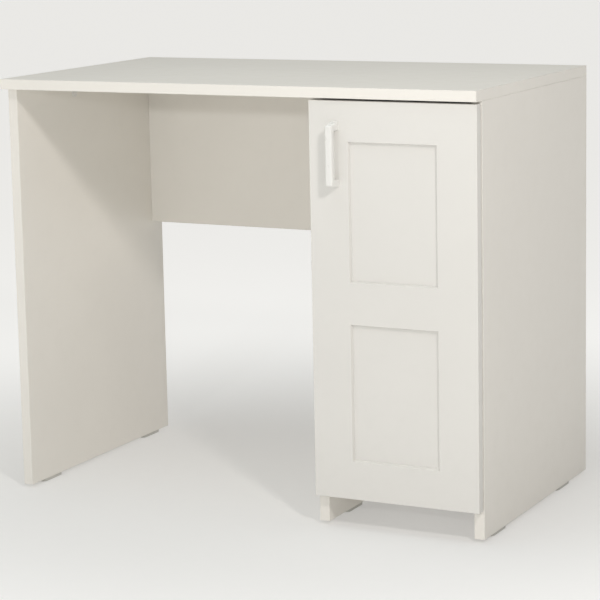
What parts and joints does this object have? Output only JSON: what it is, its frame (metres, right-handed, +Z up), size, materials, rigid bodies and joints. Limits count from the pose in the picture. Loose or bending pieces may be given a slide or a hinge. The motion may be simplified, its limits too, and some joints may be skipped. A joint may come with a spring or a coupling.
{
  "type": "writing desk with a cupboard",
  "caption": "Small off-white writing desk: a flat worktop on slab legs, an open knee space with a modesty panel, and a framed cupboard door under the right end.",
  "frame": {"origin": "on the floor, under the centre of the whole desk including its handle", "axes": "+X to the right along the worktop as seen from the sitter's side, +Y from the sitter towards the back, +Z up"},
  "size_m": [0.9, 0.53, 0.743],
  "materials": {
    "white_foil_board": "off-white foil on particleboard, satin, very fine pore texture",
    "door_foil": "off-white foil on fibreboard frame, satin",
    "white_hardboard": "off-white lacquered hardboard, matt",
    "white_lacquer": "white powder coat, semi-gloss",
    "nickel_steel": "nickel-plated pressed steel",
    "zinc_fitting": "bright zinc plating, dull",
    "beech_dowel": "raw beech, fluted",
    "glide_plastic": "pale grey moulded plastic, matt",
    "white_plastic": "off-white moulded plastic, satin",
    "clear_bumper": "translucent soft polyurethane"
  },
  "bodies": {
    "carcass": {"worktop": "white_foil_board", "left_side_panel": "white_foil_board", "cabinet_left_panel": "white_foil_board", "cabinet_right_panel": "white_foil_board", "modesty_panel": "white_foil_board", "cabinet_bottom": "white_foil_board", "shelf_lower": "white_foil_board", "shelf_upper": "white_foil_board", "cabinet_back": "white_hardboard", "hinge_arms": "nickel_steel", "hinge_plates": "nickel_steel", "cam_locks": "zinc_fitting", "cam_bolts": "zinc_fitting", "hinge_arm_pins": "zinc_fitting", "hinge_plate_screws": "zinc_fitting", "hinge_arm_screws": "zinc_fitting", "shelf_pins": "zinc_fitting", "glide_nails": "zinc_fitting", "wooden_dowels": "beech_dowel", "floor_glides": "glide_plastic", "cam_covers": "white_plastic"},
    "hinge_links": {"hinge_links": "nickel_steel"},
    "door": {"door_stile_left": "door_foil", "door_stile_right": "door_foil", "door_bottom_rail": "door_foil", "door_middle_rail": "door_foil", "door_top_rail": "door_foil", "door_dowels": "beech_dowel", "door_panel_lower": "door_foil", "door_panel_upper": "door_foil", "door_bumpers": "clear_bumper", "handle": "white_lacquer", "handle_screws": "zinc_fitting", "hinge_cups": "nickel_steel", "hinge_springs": "zinc_fitting", "hinge_cup_pins": "zinc_fitting", "hinge_cup_screws": "zinc_fitting"}
  },
  "joints": [
    {"name": "link_swing", "type": "hinge", "parent": "carcass", "child": "hinge_links", "pos_m": [0.4202, -0.2185, 0.38775], "axis": [0, 0, 1], "range_deg": [-38, 0]},
    {"name": "door_swing", "type": "hinge", "parent": "hinge_links", "child": "door", "pos_m": [0.4395, -0.2258, 0.38775], "axis": [0, 0, 1], "range_deg": [0, 133]}
  ],
  "couplings": [
    {"joint": "link_swing", "follows": "door_swing", "ratio": -0.28571}
  ]
}
